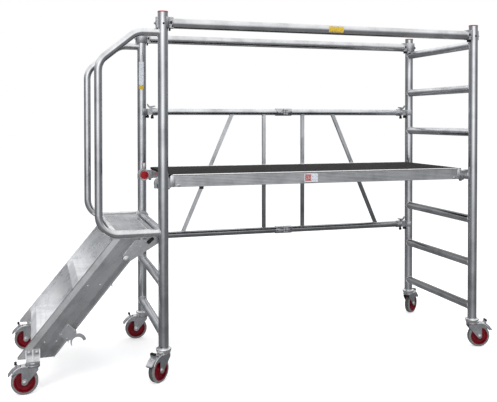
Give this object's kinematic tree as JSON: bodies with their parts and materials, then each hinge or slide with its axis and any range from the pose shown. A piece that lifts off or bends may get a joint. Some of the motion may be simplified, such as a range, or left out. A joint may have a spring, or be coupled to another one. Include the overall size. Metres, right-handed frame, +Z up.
{
  "type": "baker scaffold",
  "caption": "Mobile tube scaffold with open end frames, hook-on platform, folding back brace, swing guardrails and a hook-on access stair with landing and handrails.",
  "frame": {"origin": "on the floor, below the middle of the whole object's bounding box with the castors as they stand at rest", "axes": "+X along the platform away from the stair, +Y across the scaffold towards the back brace, +Z up"},
  "size_m": [2.6288, 0.915, 1.841],
  "materials": {
    "aluminium_tube": "mill-finish drawn tube, faint drawing lines",
    "aluminium_rung": "mill-finish tube",
    "brace_tube": "mill-finish tube, slightly dull",
    "red_plastic": "moulded end caps",
    "knob_red": "moulded knob",
    "zinc_steel": "bright zinc-plated pressed steel",
    "pedal_steel": "zinc-plated pressed steel with dark toes",
    "wheel_red": "dark red moulded wheel",
    "tyre_grey": "grey rubber tread",
    "cast_aluminium": "sand-textured casting",
    "black_plastic": "moulded trigger",
    "lever_steel": "pressed lever",
    "deck_ply": "dark film-faced non-slip plywood",
    "extruded_aluminium": "grooved extrusion",
    "sheet_aluminium": "bright folded sheet"
  },
  "bodies": {
    "end_frames": {"stiles": "aluminium_tube", "rungs": "aluminium_rung", "stile_caps": "red_plastic", "handrails": "aluminium_tube", "platform_stubs": "aluminium_rung", "castor_stems": "zinc_steel"},
    "platform": {"deck_board": "deck_ply", "deck_rails": "extruded_aluminium", "deck_cross_members": "extruded_aluminium", "deck_hooks": "cast_aluminium"},
    "stair": {"stair_stringers": "extruded_aluminium", "stair_treads": "sheet_aluminium", "stair_landing": "sheet_aluminium", "stair_hooks": "cast_aluminium", "storage_claws": "cast_aluminium", "stair_castor_mounts": "zinc_steel"},
    "near_guardrail": {"near_guardrail_tube": "aluminium_tube", "near_guardrail_claws": "cast_aluminium"},
    "far_guardrail": {"far_guardrail_tube": "aluminium_tube", "far_guardrail_claws": "cast_aluminium"},
    "brace_right": {"brace_right_tubes": "brace_tube", "brace_right_webs": "brace_tube", "brace_right_fittings": "cast_aluminium"},
    "brace_left": {"brace_left_tubes": "brace_tube", "brace_left_webs": "brace_tube", "brace_left_fittings": "cast_aluminium"},
    "near_knob": {"near_lock_knob": "knob_red"},
    "far_knob": {"far_lock_knob": "knob_red"},
    "near_left_trigger_body": {"near_left_trigger": "black_plastic"},
    "near_right_trigger_body": {"near_right_trigger": "black_plastic"},
    "far_left_trigger_body": {"far_left_trigger": "black_plastic"},
    "far_right_trigger_body": {"far_right_trigger": "black_plastic"},
    "brace_left_lower_lever_body": {"brace_left_lower_lever": "lever_steel"},
    "brace_left_upper_lever_body": {"brace_left_upper_lever": "lever_steel"},
    "brace_right_lower_lever_body": {"brace_right_lower_lever": "lever_steel"},
    "brace_right_upper_lever_body": {"brace_right_upper_lever": "lever_steel"},
    "near_left_castor": {"near_left_castor_fork": "zinc_steel"},
    "near_left_wheel": {"near_left_wheel_core": "wheel_red", "near_left_tyre": "tyre_grey"},
    "near_left_brake": {"near_left_brake_pedal": "pedal_steel"},
    "far_left_castor": {"far_left_castor_fork": "zinc_steel"},
    "far_left_wheel": {"far_left_wheel_core": "wheel_red", "far_left_tyre": "tyre_grey"},
    "far_left_brake": {"far_left_brake_pedal": "pedal_steel"},
    "near_right_castor": {"near_right_castor_fork": "zinc_steel"},
    "near_right_wheel": {"near_right_wheel_core": "wheel_red", "near_right_tyre": "tyre_grey"},
    "near_right_brake": {"near_right_brake_pedal": "pedal_steel"},
    "far_right_castor": {"far_right_castor_fork": "zinc_steel"},
    "far_right_wheel": {"far_right_wheel_core": "wheel_red", "far_right_tyre": "tyre_grey"},
    "far_right_brake": {"far_right_brake_pedal": "pedal_steel"},
    "stair_near_castor": {"stair_near_castor_fork": "zinc_steel"},
    "stair_near_wheel": {"stair_near_wheel_core": "wheel_red", "stair_near_tyre": "tyre_grey"},
    "stair_near_brake": {"stair_near_brake_pedal": "pedal_steel"},
    "stair_far_castor": {"stair_far_castor_fork": "zinc_steel"},
    "stair_far_wheel": {"stair_far_wheel_core": "wheel_red", "stair_far_tyre": "tyre_grey"},
    "stair_far_brake": {"stair_far_brake_pedal": "pedal_steel"}
  },
  "joints": [
    {"name": "platform_lift", "type": "slide", "parent": "end_frames", "child": "platform", "axis": [0, 0, 1], "range_m": [0, 0.15]},
    {"name": "stair_swing", "type": "hinge", "parent": "end_frames", "child": "stair", "pos_m": [-0.57969, 0.00413, 0.73], "axis": [0, 1, 0], "range_deg": [0, 75]},
    {"name": "near_guardrail_swing", "type": "hinge", "parent": "end_frames", "child": "near_guardrail", "pos_m": [-0.57969, -0.37087, 1.782], "axis": [0, 0, 1], "range_deg": [0, 20]},
    {"name": "far_guardrail_swing", "type": "hinge", "parent": "end_frames", "child": "far_guardrail", "pos_m": [-0.57969, 0.37913, 1.782], "axis": [0, 0, 1], "range_deg": [-20, 0]},
    {"name": "brace_fold", "type": "hinge", "parent": "end_frames", "child": "brace_right", "pos_m": [1.20031, 0.37913, 0.978], "axis": [0, 0, 1], "range_deg": [-80, 0]},
    {"name": "brace_centre_hinge", "type": "hinge", "parent": "brace_right", "child": "brace_left", "pos_m": [0.31031, 0.35513, 0.978], "axis": [0, 0, 1], "range_deg": [0, 160]},
    {"name": "near_knob_pull", "type": "slide", "parent": "end_frames", "child": "near_knob", "axis": [0, 1, 0], "range_m": [0, 0.012]},
    {"name": "far_knob_pull", "type": "slide", "parent": "end_frames", "child": "far_knob", "axis": [0, -1, 0], "range_m": [0, 0.012]},
    {"name": "near_left_trigger_slide", "type": "slide", "parent": "near_guardrail", "child": "near_left_trigger_body", "axis": [1, 0, 0], "range_m": [0, 0.006]},
    {"name": "near_right_trigger_slide", "type": "slide", "parent": "near_guardrail", "child": "near_right_trigger_body", "axis": [-1, 0, 0], "range_m": [0, 0.006]},
    {"name": "far_left_trigger_slide", "type": "slide", "parent": "far_guardrail", "child": "far_left_trigger_body", "axis": [1, 0, 0], "range_m": [0, 0.006]},
    {"name": "far_right_trigger_slide", "type": "slide", "parent": "far_guardrail", "child": "far_right_trigger_body", "axis": [-1, 0, 0], "range_m": [0, 0.006]},
    {"name": "brace_left_lower_lever_press", "type": "hinge", "parent": "brace_left", "child": "brace_left_lower_lever_body", "pos_m": [-0.52569, 0.37913, 0.633], "axis": [0, 1, 0], "range_deg": [0, 12]},
    {"name": "brace_left_upper_lever_press", "type": "hinge", "parent": "brace_left", "child": "brace_left_upper_lever_body", "pos_m": [-0.52569, 0.37913, 1.376], "axis": [0, 1, 0], "range_deg": [0, 12]},
    {"name": "brace_right_lower_lever_press", "type": "hinge", "parent": "brace_right", "child": "brace_right_lower_lever_body", "pos_m": [1.14631, 0.37913, 0.633], "axis": [0, -1, 0], "range_deg": [0, 12]},
    {"name": "brace_right_upper_lever_press", "type": "hinge", "parent": "brace_right", "child": "brace_right_upper_lever_body", "pos_m": [1.14631, 0.37913, 1.376], "axis": [0, -1, 0], "range_deg": [0, 12]},
    {"name": "near_left_swivel", "type": "hinge", "parent": "end_frames", "child": "near_left_castor", "pos_m": [-0.57969, -0.37087, 0.135], "axis": [0, 0, 1], "continuous": true},
    {"name": "near_left_wheel_spin", "type": "hinge", "parent": "near_left_castor", "child": "near_left_wheel", "pos_m": [-0.6088, -0.3953, 0.0625], "axis": [0.6428, -0.766, 0], "continuous": true},
    {"name": "near_left_brake", "type": "hinge", "parent": "near_left_castor", "child": "near_left_brake", "pos_m": [-0.62719, -0.41072, 0.127], "axis": [0.6428, -0.766, 0], "range_deg": [0, 12]},
    {"name": "far_left_swivel", "type": "hinge", "parent": "end_frames", "child": "far_left_castor", "pos_m": [-0.57969, 0.37913, 0.135], "axis": [0, 0, 1], "continuous": true},
    {"name": "far_left_wheel_spin", "type": "hinge", "parent": "far_left_castor", "child": "far_left_wheel", "pos_m": [-0.61769, 0.37913, 0.0625], "axis": [0, -1, 0], "continuous": true},
    {"name": "far_left_brake", "type": "hinge", "parent": "far_left_castor", "child": "far_left_brake", "pos_m": [-0.64169, 0.37913, 0.127], "axis": [0, -1, 0], "range_deg": [0, 12]},
    {"name": "near_right_swivel", "type": "hinge", "parent": "end_frames", "child": "near_right_castor", "pos_m": [1.20031, -0.37087, 0.135], "axis": [0, 0, 1], "continuous": true},
    {"name": "near_right_wheel_spin", "type": "hinge", "parent": "near_right_castor", "child": "near_right_wheel", "pos_m": [1.23748, -0.37877, 0.0625], "axis": [0.2079, 0.9781, 0], "continuous": true},
    {"name": "near_right_brake", "type": "hinge", "parent": "near_right_castor", "child": "near_right_brake", "pos_m": [1.26095, -0.38376, 0.127], "axis": [0.2079, 0.9781, 0], "range_deg": [0, 12]},
    {"name": "far_right_swivel", "type": "hinge", "parent": "end_frames", "child": "far_right_castor", "pos_m": [1.20031, 0.37913, 0.135], "axis": [0, 0, 1], "continuous": true},
    {"name": "far_right_wheel_spin", "type": "hinge", "parent": "far_right_castor", "child": "far_right_wheel", "pos_m": [1.23181, 0.40038, 0.0625], "axis": [-0.5592, 0.829, 0], "continuous": true},
    {"name": "far_right_brake", "type": "hinge", "parent": "far_right_castor", "child": "far_right_brake", "pos_m": [1.25171, 0.4138, 0.127], "axis": [-0.5592, 0.829, 0], "range_deg": [0, 12]},
    {"name": "stair_near_swivel", "type": "hinge", "parent": "stair", "child": "stair_near_castor", "pos_m": [-1.20169, -0.35587, 0.135], "axis": [0, 0, 1], "continuous": true},
    {"name": "stair_near_wheel_spin", "type": "hinge", "parent": "stair_near_castor", "child": "stair_near_wheel", "pos_m": [-1.23969, -0.35587, 0.0625], "axis": [0, -1, 0], "continuous": true},
    {"name": "stair_near_brake", "type": "hinge", "parent": "stair_near_castor", "child": "stair_near_brake", "pos_m": [-1.26369, -0.35587, 0.127], "axis": [0, -1, 0], "range_deg": [0, 12]},
    {"name": "stair_far_swivel", "type": "hinge", "parent": "stair", "child": "stair_far_castor", "pos_m": [-1.20169, 0.36413, 0.135], "axis": [0, 0, 1], "continuous": true},
    {"name": "stair_far_wheel_spin", "type": "hinge", "parent": "stair_far_castor", "child": "stair_far_wheel", "pos_m": [-1.23969, 0.36413, 0.0625], "axis": [0, -1, 0], "continuous": true},
    {"name": "stair_far_brake", "type": "hinge", "parent": "stair_far_castor", "child": "stair_far_brake", "pos_m": [-1.26369, 0.36413, 0.127], "axis": [0, -1, 0], "range_deg": [0, 12]}
  ],
  "couplings": [
    {"joint": "brace_centre_hinge", "follows": "brace_fold", "ratio": -2}
  ]
}
